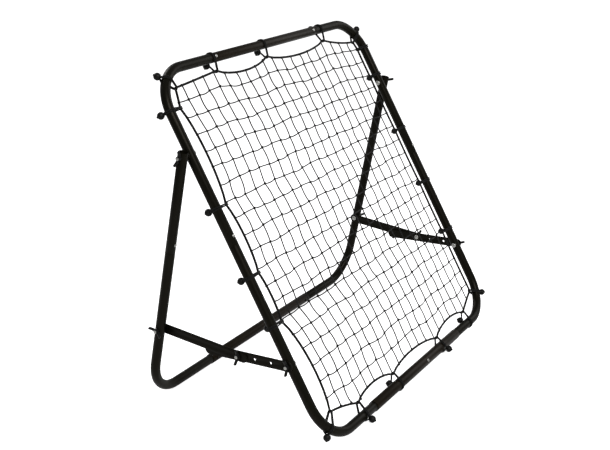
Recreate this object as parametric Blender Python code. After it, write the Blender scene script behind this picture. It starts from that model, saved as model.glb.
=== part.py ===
# Pitch back rebounder: a leaning square tube frame that holds a net on ball bungees,
# with a rear leg that folds on two bolts and two jointed stays that set its angle.
# Metres, +Z up. X runs across the frame, the net faces -Y, the leg stands at the rear.
from math import acos, cos, pi, radians, sin

import bmesh
import bpy
from mathutils import Matrix, Vector

# Frame
FRAME_WIDTH = 0.978          # between the side tubes' axes
FRAME_HEIGHT = 0.978         # between the bottom and top axes, along the lean
LEAN = radians(31)           # lean back from the vertical
CORNER_R = 0.105             # bend radius on the tube's axis
TUBE_R = 0.0127
TUBE_WALL = 0.0012
SLEEVE_R = 0.0143            # bottom bar and rear crossbar, which slip over the bent tubes
SPIGOT_R = 0.0112            # drawn-in tube end that plugs into the next tube
SPIGOT_LENGTH = 0.045
NECK = 0.004                 # length over which the bore draws in
BAR_HALF = 0.26              # half length of the top, bottom and rear bars
SLEEVE_LAP = 0.04            # how far a bent tube reaches into a sleeve
SIDE_JOINT = 0.53            # height of the side tubes' joint along the lean
AXIS_HEIGHT = 0.01764        # bottom axis above the floor: the bar stands on its bungee cords
DEPTH_SHIFT = -0.2511        # bottom axis in Y, which centres the whole object on the origin

# Rear leg
PIVOT_UP = 0.770             # leg bolt, measured up the frame
FOOT_BACK = 0.512            # crossbar axis behind the bottom axis
FOOT_R = 0.105               # bend radius at the foot
LEG_TOP = 0.013              # tube left above the bolt
LEG_JOINT = 0.25             # joint below the bolt
LEG_BOLT = 0.470             # stay bolt below the leg bolt

# Stays
STAY_HEIGHT = 0.0265
STAY_THICK = 0.0025
STAY_UP = 0.217              # stay bolt, measured up the frame
ELBOW_OUT = 0.138            # elbow bolt from the frame bolt, along the line to the leg bolt
ELBOW_SAG = 0.012            # drop of the elbow below that line
STAY_END = 0.0135            # bar left past its end bolt
REAR_LAP = 0.026             # rear bar left past the elbow
FRONT_TAIL = 0.100           # front bar left past the elbow
SPARE_PITCH = 0.046          # pitch of the front bar's spare holes from the frame bolt
LUG_BACK = 0.020             # stop lug under the tail, measured from the tail's end
LUG_LENGTH = 0.007
LUG_DEPTH = 0.004

# Fasteners
GAP = 0.0003                 # air between touching pieces
BOLT_R = 0.004
HOLE_R = 0.0045
SPARE_R = 0.0032
HEAD_R = 0.0068
HEAD_THICK = 0.004
NUT_R = 0.0068
NUT_THICK = 0.008
WING_REACH = 0.0195          # from the nut's axis to a wing's tip
WING_STAGES = ((0.40, 0.25, 1.6), (1.0, 1.0, 1.3))   # share of the reach, of the rise, and widening
NUT_TOP_R = NUT_R * 0.82     # the nut narrows above its middle
COLLAR_R = HEAD_R * 1.3      # spacer collar between the frame and the leg
SCREW_R = 0.0018
SCREW_HEAD_R = 0.0042
SCREW_LENGTH = 0.005
RIVET_X = BAR_HALF - SLEEVE_LAP / 2   # rivets through the crossbar's ends

# Net, rope and bungees
NET_GAPS = 14                # gaps each way
STRAND = 0.003
ROPE_R = 0.0028
CORD_R = 0.002
CORD_LIFT = 0.001            # cord axis clear of the tube, past its own radius
CORD_SPREAD = 0.006          # half distance between a loop's two strands on the tube
BALL_R = 0.0095
NUB_R = 0.0026
NUB_LENGTH = 0.004

# Facets
TUBE_SIDES = 12
BEND_STEPS = 7
BOLT_SIDES = 12
ROPE_SIDES = 6
CORD_SIDES = 5
SCALLOP_STEPS = 3
WRAP_STEP = radians(35)      # cord's turn round a tube from ring to ring
SHARP_ANGLE = radians(35)    # edges sharper than this are shaded hard

ACROSS = Vector((1, 0, 0))
REAR = Vector((0, 1, 0))
UP_FRAME = Vector((0, sin(LEAN), cos(LEAN)))
BEHIND = Vector((0, cos(LEAN), -sin(LEAN)))
HALF = FRAME_WIDTH / 2
TUBE_BORE = TUBE_R - TUBE_WALL
SPIGOT_BORE = SPIGOT_R - TUBE_WALL
FLAT = cos(pi / TUBE_SIDES)  # a faceted tube's flats stand this much closer than its corners
TUBE_FACE = TUBE_R * FLAT
SLEEVE_FACE = SLEEVE_R * FLAT
SLEEVE_BORE = (TUBE_R + GAP) / FLAT
STAY_FRONT_X = HALF + TUBE_FACE + GAP
STAY_REAR_X = STAY_FRONT_X + STAY_THICK + GAP
LEG_X = STAY_REAR_X + STAY_THICK + GAP + TUBE_FACE


def on_frame(x, up, behind=0.0):
    base = Vector((x, DEPTH_SHIFT, AXIS_HEIGHT))
    return base + UP_FRAME * up + BEHIND * behind


PIVOT = on_frame(0, PIVOT_UP)
FOOT = Vector((0, DEPTH_SHIFT + FOOT_BACK, SLEEVE_FACE))
DOWN_LEG = (FOOT - PIVOT).normalized()
STAY_FRAME = on_frame(0, STAY_UP)
STAY_LEG = PIVOT + DOWN_LEG * LEG_BOLT
STAY_LINE = (STAY_LEG - STAY_FRAME).normalized()
STAY_DROP = STAY_LINE.cross(ACROSS)
ELBOW = STAY_FRAME + STAY_LINE * ELBOW_OUT + STAY_DROP * ELBOW_SAG
FRONT_LINE = (ELBOW - STAY_FRAME).normalized()
REAR_LINE = (ELBOW - STAY_LEG).normalized()

# Where the net is tied to each tube: place along it, and the ball's angle round it,
# counted from straight outwards towards the rear
TOP_TIES = [(-0.254, 118), (-0.019, 122), (0.286, 62)]
RIGHT_TIES = [(0.888, 38), (0.796, 98), (0.615, 98), (0.437, 98), (0.272, 98)]
BOTTOM_TIES = [(0.353, 125), (0.156, -60), (-0.118, 112), (-0.312, -50)]
LEFT_TIES = [(0.316, 112), (0.446, 82), (0.627, 82), (0.881, 60)]
# At a corner the place is the angle into the bend, counted from the side tube
CORNER_TIES = {"top_left": (50, 20), "top_right": (35, -10),
               "bottom_right": (27, -22), "bottom_left": (42, 5)}
SIDE_ROPE = 0.040            # rope's ties inside the side tubes' axes
END_ROPE = 0.034             # the same at the top and bottom
CORNER_ROPE = 0.034          # the same at a corner, along the diagonal
OWN_ROPE = {"bottom_2": 0.027, "bottom_3": 0.031, "bottom_left": 0.043, "top_left": 0.029}
# Depth of the rope's scallop from each tie to the next, as a share of their distance
SAG = {"top_left": 0.004, "top_1": 0.085, "top_2": 0.065, "top_3": 0.035, "top_right": 0.012,
       "bottom_right": 0.012, "bottom_1": 0.100, "bottom_2": 0.072, "bottom_3": 0.095, "bottom_4": 0.035,
       "bottom_left": 0.100, "left_1": 0.060, "left_2": 0.070, "left_3": 0.070}
SIDE_SAG = 0.012             # the same on the right, where the net pulls less

# Angle of each wing nut's wings round its bolt, on the left and on the right
WING_TURN = {"leg_pivot": (20, 80), "leg_stay": (-60, 65), "elbow": (5, 20), "frame_stay": (-8, 80)}


def clear_scene():
    for item in list(bpy.data.objects):
        bpy.data.objects.remove(item, do_unlink=True)


def finish(name, colour, roughness, metallic):
    material = bpy.data.materials.new(name)
    material.use_nodes = True
    shader = material.node_tree.nodes["Principled BSDF"]
    shader.inputs["Base Color"].default_value = (*colour, 1)
    shader.inputs["Roughness"].default_value = roughness
    shader.inputs["Metallic"].default_value = metallic
    return material


def pivot_empty(name, place):
    empty = bpy.data.objects.new(name, None)
    empty.location = place
    bpy.context.scene.collection.objects.link(empty)
    return empty


def add_object(name, bm, material, axis=None):
    origin = axis.location if axis else Vector()
    bmesh.ops.recalc_face_normals(bm, faces=bm.faces)
    bmesh.ops.translate(bm, verts=bm.verts, vec=-origin)
    mesh = bpy.data.meshes.new(name)
    bm.to_mesh(mesh)
    bm.free()
    mesh.shade_smooth()
    mesh.set_sharp_from_angle(angle=SHARP_ANGLE)
    mesh.materials.append(material)
    item = bpy.data.objects.new(name, mesh)
    item.parent = axis
    bpy.context.scene.collection.objects.link(item)
    return item


def add_ring(bm, centre, direction, side, radius, count):
    edge = side.cross(direction).normalized()
    turns = [2 * pi * (k + 0.5) / count for k in range(count)]
    return [bm.verts.new(centre + (side * sin(t) + edge * cos(t)) * radius) for t in turns]


def skin_rings(bm, first, second):
    count = len(first)
    for k in range(count):
        bm.faces.new((first[k], first[k - 1], second[k - 1], second[k]))


def sweep(stations, side, count, closed=False):
    # stations are (point, direction, outer radius, inner radius); no bore where the inner is 0
    bm = bmesh.new()
    outer = [add_ring(bm, p, d, side, r, count) for p, d, r, _ in stations]
    for first, second in zip(outer, outer[1:]):
        skin_rings(bm, first, second)
    if closed:
        skin_rings(bm, outer[-1], outer[0])
    elif stations[0][3]:
        inner = [add_ring(bm, p, d, side, r, count) for p, d, _, r in stations]
        for first, second in zip(inner, inner[1:]):
            skin_rings(bm, first, second)
        skin_rings(bm, outer[0], inner[0])
        skin_rings(bm, outer[-1], inner[-1])
    else:
        bm.faces.new(outer[0])
        bm.faces.new(outer[-1])
    return bm


def bent_path(start, corner, end, radius):
    # straight, round a square corner, straight: points with their directions
    into = (corner - start).normalized()
    out = (end - corner).normalized()
    path = [(start, into)]
    for k in range(BEND_STEPS + 1):
        turn = pi / 2 * k / BEND_STEPS
        point = corner - into * radius * (1 - sin(turn)) + out * radius * (1 - cos(turn))
        path.append((point, into * cos(turn) + out * sin(turn)))
    return path + [(end, out)]


def plain_stations(path, outer=TUBE_R, inner=TUBE_BORE):
    return [(point, direction, outer, inner) for point, direction in path]


def spigot_stations(end, direction):
    # the drawn-in end of a tube, from its last full section to its tip
    marks = ((-NECK, TUBE_R, TUBE_BORE), (0, TUBE_R, SPIGOT_BORE),
             (GAP / 2, SPIGOT_R, SPIGOT_BORE), (SPIGOT_LENGTH, SPIGOT_R, SPIGOT_BORE))
    return [(end + direction * along, direction, outer, inner) for along, outer, inner in marks]


def leading_spigot(end, direction):
    # the same at the start of a tube that runs along direction
    return [(p, direction, r, b) for p, _, r, b in reversed(spigot_stations(end, -direction))]


def add_cutter(name, start, end, radius):
    direction = (end - start).normalized()
    side = ACROSS if abs(direction.x) < 0.5 else Vector((0, 0, 1))
    bm = sweep([(start, direction, radius, 0), (end, direction, radius, 0)], side, BOLT_SIDES)
    item = add_object(name, bm, None)
    item.hide_render = True
    item.display_type = "WIRE"
    return item


def cut(item, cutter):
    modifier = item.modifiers.new(cutter.name, "BOOLEAN")
    modifier.operation = "DIFFERENCE"
    modifier.solver = "EXACT"
    modifier.object = cutter


def corner_tube(hand, end):
    # one bent quarter of the frame, from its bar to its side joint
    x = hand * HALF
    if end == "top":
        bar_end = on_frame(hand * (BAR_HALF + GAP), FRAME_HEIGHT)
        corner = on_frame(x, FRAME_HEIGHT)
        side_end = on_frame(x, SIDE_JOINT + GAP)
        stations = plain_stations(bent_path(bar_end, corner, side_end, CORNER_R))
        return sweep(leading_spigot(bar_end, ACROSS * hand) + stations[1:], BEHIND, TUBE_SIDES)
    bar_end = on_frame(hand * (BAR_HALF - SLEEVE_LAP), 0)
    corner = on_frame(x, 0)
    side_end = on_frame(x, SIDE_JOINT)
    stations = plain_stations(bent_path(bar_end, corner, side_end, CORNER_R))
    return sweep(stations[:-1] + spigot_stations(side_end, UP_FRAME), BEHIND, TUBE_SIDES)


def straight_bar(middle, radius, bore, side):
    ends = [middle - ACROSS * BAR_HALF, middle + ACROSS * BAR_HALF]
    return sweep([(p, ACROSS, radius, bore) for p in ends], side, TUBE_SIDES)


def upper_leg(hand):
    offset = ACROSS * hand * LEG_X
    ends = [PIVOT + offset - DOWN_LEG * LEG_TOP, PIVOT + offset + DOWN_LEG * (LEG_JOINT - GAP)]
    return sweep(plain_stations([(p, DOWN_LEG) for p in ends]), ACROSS, TUBE_SIDES)


def lower_leg(hand):
    start = PIVOT + ACROSS * hand * LEG_X + DOWN_LEG * LEG_JOINT
    corner = FOOT + ACROSS * hand * LEG_X
    end = FOOT + ACROSS * hand * (BAR_HALF - SLEEVE_LAP)
    stations = plain_stations(bent_path(start, corner, end, FOOT_R))
    return sweep(leading_spigot(start, DOWN_LEG) + stations[1:], ACROSS.cross(DOWN_LEG), TUBE_SIDES)


def flat_bar(start, line, before, after, near_x, lug_at=None):
    # a round-ended flat bar along a line, its plate from near_x to one thickness further out
    drop = line.cross(ACROSS)
    radius = STAY_HEIGHT / 2
    outline = []
    for centre, out in ((after - radius, 1), (radius - before, -1)):
        for k in range(BEND_STEPS + 1):
            turn = pi * k / BEND_STEPS
            along = centre + radius * out * sin(turn)
            outline.append((along, -radius * out * cos(turn)))
    if lug_at is not None:
        near, far, foot = lug_at, lug_at + LUG_LENGTH, radius + LUG_DEPTH
        lug = [(far, radius), (far, foot), (near, foot), (near, radius)]
        outline[BEND_STEPS + 1:BEND_STEPS + 1] = lug
    bm = bmesh.new()
    points = [start + line * along + drop * low + ACROSS * near_x for along, low in outline]
    plate = bm.faces.new([bm.verts.new(point) for point in points])
    skin = bmesh.ops.extrude_face_region(bm, geom=[plate])["geom"]
    moved = [part for part in skin if isinstance(part, bmesh.types.BMVert)]
    outwards = STAY_THICK if near_x > 0 else -STAY_THICK
    bmesh.ops.translate(bm, verts=moved, vec=ACROSS * outwards)
    return bm


def turned_bolt(place, hand, profile):
    # profile is (distance out from the middle plane, radius), revolved about X
    stations = [(place + ACROSS * hand * out, ACROSS * hand, r, 0) for out, r in profile]
    return sweep(stations, Vector((0, 0, 1)), BOLT_SIDES)


def bolt_profile(head_x, tip_x, collar=None):
    profile = [(head_x - HEAD_THICK, HEAD_R * 0.55), (head_x - HEAD_THICK * 0.6, HEAD_R * 0.9)]
    profile += [(head_x - HEAD_THICK * 0.2, HEAD_R), (head_x, HEAD_R), (head_x, BOLT_R)]
    if collar:
        low, high, radius = collar
        profile += [(low, BOLT_R), (low, radius), (high, radius), (high, BOLT_R)]
    return profile + [(tip_x, BOLT_R)]


def wing_nut(hand, stud_x=None):
    # in its own frame: seat at 0, +X outwards; stud_x gives a nut with its own stud a shank
    way = ACROSS * hand
    side = Vector((0, 0, 1))
    if stud_x is None:
        profile = [(0, NUT_R, HOLE_R), (NUT_THICK * 0.5, NUT_R, HOLE_R)]
        profile += [(NUT_THICK, NUT_TOP_R, HOLE_R)]
    else:
        profile = [(stud_x, BOLT_R, 0), (0, BOLT_R, 0), (0, NUT_R, 0), (NUT_THICK * 0.5, NUT_R, 0)]
        profile += [(NUT_THICK, NUT_TOP_R, 0), (NUT_THICK, BOLT_R, 0)]
        profile += [(NUT_THICK + BOLT_R / 2, BOLT_R, 0)]
    bm = sweep([(way * x, way, outer, bore) for x, outer, bore in profile], side, BOLT_SIDES)
    bmesh.ops.recalc_face_normals(bm, faces=bm.faces)
    for upright in (1, -1):
        grip = [f for f in bm.faces if f.normal.z * upright > 0.9 and is_nut_side(f, upright)]
        for reach, rise, taper in WING_STAGES:
            grip = bmesh.ops.extrude_discrete_faces(bm, faces=grip)["faces"]
            move_wing(bm, grip, way, upright, reach, rise, taper)
    return bm


def is_nut_side(face, upright):
    centre = face.calc_center_median()
    return centre.z * upright > NUT_R * 0.92 and abs(centre.y) < NUT_R * 0.2


def move_wing(bm, faces, way, upright, reach, rise, taper):
    length = WING_REACH - NUT_R
    for face in faces:
        centre = face.calc_center_median()
        target = Vector((way.x * NUT_THICK * (0.5 + rise), 0, upright * (NUT_R + length * reach)))
        for vert in face.verts:
            vert.co = target + (vert.co - centre) * taper


def joint_screw(place, out):
    # pan-head screw that holds a plugged joint; out points from the tube's axis to its head
    seat = TUBE_FACE + GAP
    profile = [(seat - SCREW_LENGTH, SCREW_R), (seat, SCREW_R), (seat, SCREW_HEAD_R)]
    profile += [(seat + SCREW_R * 0.6, SCREW_HEAD_R), (seat + SCREW_R, SCREW_HEAD_R * 0.6)]
    stations = [(place + out * along, out, radius, 0) for along, radius in profile]
    return sweep(stations, ACROSS, BOLT_SIDES)


def crossbar_rivet(hand):
    # domed at both ends, through the crossbar and the leg tube inside it
    middle = FOOT + ACROSS * hand * RIVET_X
    seat = SLEEVE_FACE + GAP
    half = [(seat, SCREW_R), (seat, SCREW_HEAD_R), (seat + SCREW_R, SCREW_HEAD_R * 0.7)]
    profile = [(-along, radius) for along, radius in reversed(half)] + half
    stations = [(middle + REAR * along, REAR, radius, 0) for along, radius in profile]
    return sweep(stations, ACROSS, BOLT_SIDES)


def tie_points():
    # every place where a bungee holds the rope, in order round the frame:
    # name, tube axis point, tube direction, outward direction, tube radius, rope depth, ball angle
    ties = []
    for k, (x, turn) in enumerate(TOP_TIES):
        ties.append((f"top_{k + 1}", on_frame(x, FRAME_HEIGHT), ACROSS, UP_FRAME, TUBE_R, END_ROPE, turn))
    ties.append(corner_tie("top_right", 1, FRAME_HEIGHT, -1))
    for k, (up, turn) in enumerate(RIGHT_TIES):
        ties.append((f"right_{k + 1}", on_frame(HALF, up), UP_FRAME, ACROSS, TUBE_R, SIDE_ROPE, turn))
    ties.append(corner_tie("bottom_right", 1, 0, 1))
    for k, (x, turn) in enumerate(BOTTOM_TIES):
        radius = SLEEVE_R if abs(x) < BAR_HALF else TUBE_R
        depth = OWN_ROPE.get(f"bottom_{k + 1}", END_ROPE)
        ties.append((f"bottom_{k + 1}", on_frame(x, 0), ACROSS, -UP_FRAME, radius, depth, turn))
    ties.append(corner_tie("bottom_left", -1, 0, 1))
    for k, (up, turn) in enumerate(LEFT_TIES):
        ties.append((f"left_{k + 1}", on_frame(-HALF, up), UP_FRAME, -ACROSS, TUBE_R, SIDE_ROPE, turn))
    ties.append(corner_tie("top_left", -1, FRAME_HEIGHT, -1))
    return ties


def corner_tie(name, hand, end, inward):
    place, ball_turn = CORNER_TIES[name]
    turn = radians(place)
    out = ACROSS * hand * cos(turn) - UP_FRAME * inward * sin(turn)
    centre = on_frame(hand * (HALF - CORNER_R), end + inward * CORNER_R)
    depth = OWN_ROPE.get(name, CORNER_ROPE)
    return name, centre + out * CORNER_R, BEHIND.cross(out), out, TUBE_R, depth, ball_turn


def rope_path(ties):
    # apexes at the ties, with a shallow scallop towards the net's middle between them
    middle = on_frame(0, FRAME_HEIGHT / 2)
    apexes = [point - out * depth for _, point, _, out, _, depth, _ in ties]
    path = []
    for k, start in enumerate(apexes):
        end = apexes[(k + 1) % len(apexes)]
        run = end - start
        square = BEHIND.cross(run).normalized()
        square = square if square.dot(middle - start) > 0 else -square
        bend = SAG.get(ties[k][0], SIDE_SAG)
        for step in range(SCALLOP_STEPS):
            t = step / SCALLOP_STEPS
            path.append(start + run * t + square * run.length * bend * 4 * t * (1 - t))
    return path


def rope_solid(path):
    stations = []
    for k, point in enumerate(path):
        direction = (path[(k + 1) % len(path)] - path[k - 1]).normalized()
        stations.append((point, direction, ROPE_R, 0))
    return sweep(stations, BEHIND, ROPE_SIDES, closed=True)


def rope_crossings(path, along, across, value):
    # lowest and highest place, measured along, where the rope crosses a net line
    base = on_frame(0, 0)
    found = []
    for k, end in enumerate(path):
        start = path[k - 1]
        first, second = (start - base).dot(across) - value, (end - base).dot(across) - value
        if first * second < 0:
            t = first / (first - second)
            square = abs((end - start).normalized().dot(across))
            skew = abs((end - start).normalized().dot(along))
            reach = (ROPE_R + GAP + STRAND / 2 * skew) / square
            found.append(((start.lerp(end, t) - base).dot(along), reach))
    low, high = min(found), max(found)
    return low[0] + low[1], high[0] - high[1]


def net_solid(path):
    # square lattice in the frame's plane, each strand stopping just short of the rope
    half = STRAND / 2
    low_x, high_x = rope_crossings(path, ACROSS, UP_FRAME, FRAME_HEIGHT / 2)
    low_s, high_s = rope_crossings(path, UP_FRAME, ACROSS, 0)
    lines_x = [low_x + (high_x - low_x) * k / NET_GAPS for k in range(1, NET_GAPS)]
    lines_s = [low_s + (high_s - low_s) * k / NET_GAPS for k in range(1, NET_GAPS)]
    cuts_x = [rope_crossings(path, UP_FRAME, ACROSS, x) for x in lines_x]
    cuts_s = [rope_crossings(path, ACROSS, UP_FRAME, s) for s in lines_s]
    bm = bmesh.new()
    verts = {}

    def corner(x, s):
        key = (round(x, 6), round(s, 6))
        if key not in verts:
            verts[key] = bm.verts.new(on_frame(x, s, -half))
        return verts[key]

    def patch(x0, x1, s0, s1):
        bm.faces.new((corner(x0, s0), corner(x1, s0), corner(x1, s1), corner(x0, s1)))

    def spans(lines, ends):
        marks = [ends[0]] + [edge for line in lines for edge in (line - half, line + half)] + [ends[1]]
        return list(zip(marks[0::2], marks[1::2]))

    for x, ends in zip(lines_x, cuts_x):
        for s0, s1 in spans(lines_s, ends):
            patch(x - half, x + half, s0, s1)
        for s in lines_s:
            patch(x - half, x + half, s - half, s + half)
    for s, ends in zip(lines_s, cuts_s):
        for x0, x1 in spans(lines_x, ends):
            patch(x0, x1, s - half, s + half)
    skin = bmesh.ops.extrude_face_region(bm, geom=bm.faces[:])["geom"]
    moved = [part for part in skin if isinstance(part, bmesh.types.BMVert)]
    bmesh.ops.translate(bm, verts=moved, vec=BEHIND * STRAND)
    return bm


def wrap_points(place, start, end, round_r, spread):
    # the part of a strand that lies round the tube, none where it runs straight past
    if start <= end:
        return []
    steps = round((start - end) / WRAP_STEP)
    if steps == 0:
        return [place((start + end) / 2, round_r, spread)]
    return [place(start + (end - start) * k / steps, round_r, spread) for k in range(steps + 1)]


def bungee_loop(tie):
    # closed cord: from the rope, round the tube on both sides, to the ball
    _, point, along, out, radius, depth, ball_turn = tie
    round_r = radius + CORD_R + CORD_LIFT
    ball_far = radius + CORD_R + BALL_R / 2
    apex_far = depth - ROPE_R - CORD_R - GAP * 2
    ball = radians(ball_turn)
    apex_open = acos(round_r / apex_far)
    ball_open = acos(round_r / ball_far)

    def place(turn, far, spread):
        return point + (out * cos(turn) + BEHIND * sin(turn)) * far + along * spread

    turn_in = CORD_R / apex_far
    points = [place(turn_in - pi, apex_far, -CORD_R / 2), place(pi - turn_in, apex_far, CORD_R / 2)]
    points += wrap_points(place, pi - apex_open, ball + ball_open, round_r, CORD_SPREAD)
    points.append(place(ball, ball_far, 0))
    points += wrap_points(place, ball - ball_open, apex_open - pi, round_r, -CORD_SPREAD)
    stations = []
    for k, here in enumerate(points):
        direction = (points[(k + 1) % len(points)] - points[k - 1]).normalized()
        stations.append((here, direction, CORD_R, 0))
    return sweep(stations, along, CORD_SIDES, closed=True)


def bungee_ball(tie):
    _, point, along, out, radius, _, ball_turn = tie
    way = out * cos(radians(ball_turn)) + BEHIND * sin(radians(ball_turn))
    centre = point + way * (radius + BALL_R + CORD_R)
    profile = [(-cos(turn), sin(turn)) for turn in (radians(20 + 28 * k) for k in range(6))]
    profile = [(a * BALL_R, r * BALL_R) for a, r in profile if r * BALL_R > NUB_R]
    profile += [(profile[-1][0], NUB_R), (BALL_R + NUB_LENGTH / 2, NUB_R)]
    return sweep([(centre + way * a, way, r, 0) for a, r in profile], along, CORD_SIDES + 3)


def add_bungee(tie, material):
    loop = bungee_loop(tie)
    if min(vert.co.z for vert in loop.verts) < 0:
        geom = loop.verts[:] + loop.edges[:] + loop.faces[:]
        bmesh.ops.bisect_plane(loop, geom=geom, plane_co=Vector(), plane_no=Vector((0, 0, 1)),
                               clear_inner=True)
        bmesh.ops.holes_fill(loop, edges=[e for e in loop.edges if e.is_boundary])
    item = add_object(f"bungee_{tie[0]}", loop, material)
    ball = add_object(f"ball_of_bungee_{tie[0]}", bungee_ball(tie), material)
    ball.hide_render = True
    ball.display_type = "WIRE"
    union = item.modifiers.new("ball", "BOOLEAN")
    union.operation = "UNION"
    union.solver = "EXACT"
    union.object = ball


def build():
    clear_scene()
    black = finish("black_powder_coat", (0.022, 0.021, 0.018), 0.42, 0.0)
    zinc = finish("zinc_plate", (0.55, 0.55, 0.53), 0.35, 1.0)
    nut_black = finish("black_plastic", (0.018, 0.018, 0.018), 0.5, 0.0)
    elastic = finish("black_elastic", (0.014, 0.014, 0.014), 0.75, 0.0)
    twine = finish("grey_black_twine", (0.05, 0.05, 0.048), 0.85, 0.0)

    leg_axis = pivot_empty("leg_fold_axis", PIVOT)
    wide = ACROSS * LEG_X * 1.2
    holes = {}
    centres = {"pivot": PIVOT, "frame": STAY_FRAME, "leg": STAY_LEG, "elbow": ELBOW}
    for k in (1, 2):
        centres[f"spare_{k}"] = STAY_FRAME + FRONT_LINE * SPARE_PITCH * k
    for name, centre in centres.items():
        radius = SPARE_R if name.startswith("spare") else HOLE_R
        holes[name] = add_cutter(f"hole_{name}", centre - wide, centre + wide, radius)

    add_object("top_bar", straight_bar(on_frame(0, FRAME_HEIGHT), TUBE_R, TUBE_BORE, BEHIND), black)
    add_object("bottom_bar", straight_bar(on_frame(0, 0), SLEEVE_R, SLEEVE_BORE, REAR), black)
    crossbar = add_object("rear_crossbar", straight_bar(FOOT, SLEEVE_R, SLEEVE_BORE, REAR), black, leg_axis)

    for side, hand in (("left", -1), ("right", 1)):
        add_side(side, hand, holes, leg_axis, crossbar, black, zinc, nut_black)

    ties = tie_points()
    path = rope_path(ties)
    add_object("border_rope", rope_solid(path), elastic)
    add_object("net", net_solid(path), twine)
    for tie in ties:
        add_bungee(tie, elastic)


def add_side(side, hand, holes, leg_axis, crossbar, black, zinc, nut_black):
    # everything on one side of the frame: its tubes, leg, stay and fasteners
    front_axis = pivot_empty(f"front_stay_axis_{side}", STAY_FRAME)
    rear_axis = pivot_empty(f"rear_stay_axis_{side}", STAY_LEG)
    upper = add_object(f"upper_corner_tube_{side}", corner_tube(hand, "top"), black)
    lower = add_object(f"lower_corner_tube_{side}", corner_tube(hand, "bottom"), black)
    cut(upper, holes["pivot"])
    cut(lower, holes["frame"])

    leg_top = add_object(f"upper_leg_tube_{side}", upper_leg(hand), black, leg_axis)
    leg_foot = add_object(f"lower_leg_tube_{side}", lower_leg(hand), black, leg_axis)
    cut(leg_top, holes["pivot"])
    cut(leg_foot, holes["leg"])

    lug_at = ELBOW_OUT + FRONT_TAIL - LUG_BACK
    reach = (ELBOW - STAY_FRAME).length + FRONT_TAIL
    bar = flat_bar(STAY_FRAME, FRONT_LINE, STAY_END, reach, hand * STAY_FRONT_X, lug_at)
    front = add_object(f"front_stay_bar_{side}", bar, black, front_axis)
    for name in ("frame", "elbow", "spare_1", "spare_2"):
        cut(front, holes[name])
    reach = (ELBOW - STAY_LEG).length + REAR_LAP
    bar = flat_bar(STAY_LEG, REAR_LINE, STAY_END, reach, hand * STAY_REAR_X)
    rear = add_object(f"rear_stay_bar_{side}", bar, black, rear_axis)
    for name in ("leg", "elbow"):
        cut(rear, holes[name])

    inner_seat = HALF - TUBE_FACE - GAP
    leg_seat = LEG_X + TUBE_FACE + GAP
    stay_seat = STAY_FRONT_X + STAY_THICK + GAP
    elbow_seat = STAY_REAR_X + STAY_THICK + GAP
    past_nut = NUT_THICK + BOLT_R / 2
    collar = (STAY_FRONT_X, STAY_REAR_X + STAY_THICK, COLLAR_R)
    profile = bolt_profile(inner_seat, leg_seat + past_nut, collar)
    add_object(f"leg_pivot_bolt_{side}", turned_bolt(PIVOT, hand, profile), zinc)
    profile = bolt_profile(STAY_REAR_X - GAP, leg_seat + past_nut)
    add_object(f"leg_stay_bolt_{side}", turned_bolt(STAY_LEG, hand, profile), zinc, leg_axis)
    profile = bolt_profile(inner_seat, stay_seat + past_nut)
    add_object(f"frame_stay_bolt_{side}", turned_bolt(STAY_FRAME, hand, profile), zinc)
    profile = bolt_profile(STAY_FRONT_X - GAP, STAY_FRONT_X + STAY_THICK)
    add_object(f"elbow_bolt_{side}", turned_bolt(ELBOW, hand, profile), zinc, front_axis)

    nuts = {"leg_pivot": (PIVOT, leg_seat, None), "leg_stay": (STAY_LEG, leg_seat, leg_axis),
            "frame_stay": (STAY_FRAME, stay_seat, None), "elbow": (ELBOW, elbow_seat, rear_axis)}
    for name, (place, seat, axis) in nuts.items():
        stud_x = STAY_REAR_X - elbow_seat if name == "elbow" else None
        nut = add_object(f"{name}_wing_nut_{side}", wing_nut(hand, stud_x), nut_black)
        nut.parent = axis
        nut.location = place + ACROSS * hand * seat - (axis.location if axis else Vector())
        nut.rotation_euler.x = radians(WING_TURN[name][(hand + 1) // 2])

    joint = on_frame(hand * HALF, SIDE_JOINT + SPIGOT_LENGTH / 2)
    add_object(f"side_joint_screw_{side}", joint_screw(joint, -BEHIND), zinc)
    hole = add_cutter(f"hole_side_joint_{side}", joint, joint - BEHIND * TUBE_R * 2, SCREW_R + GAP)
    cut(upper, hole)
    cut(lower, hole)
    joint = PIVOT + ACROSS * hand * LEG_X + DOWN_LEG * (LEG_JOINT - SPIGOT_LENGTH / 2)
    forward = DOWN_LEG.cross(ACROSS)
    forward = forward if forward.y < 0 else -forward
    add_object(f"leg_joint_screw_{side}", joint_screw(joint, forward), zinc, leg_axis)
    hole = add_cutter(f"hole_leg_joint_{side}", joint, joint + forward * TUBE_R * 2, SCREW_R + GAP)
    cut(leg_top, hole)
    cut(leg_foot, hole)
    joint = FOOT + ACROSS * hand * RIVET_X
    add_object(f"crossbar_rivet_{side}", crossbar_rivet(hand), black, leg_axis)
    hole = add_cutter(f"hole_crossbar_{side}", joint - REAR * SLEEVE_R * 2, joint + REAR * SLEEVE_R * 2,
                      SCREW_R + GAP)
    cut(leg_foot, hole)
    cut(crossbar, hole)


build()
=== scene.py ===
from math import acos, cos, exp, pi, radians, sin

import bpy
from mathutils import Matrix, Vector


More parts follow.
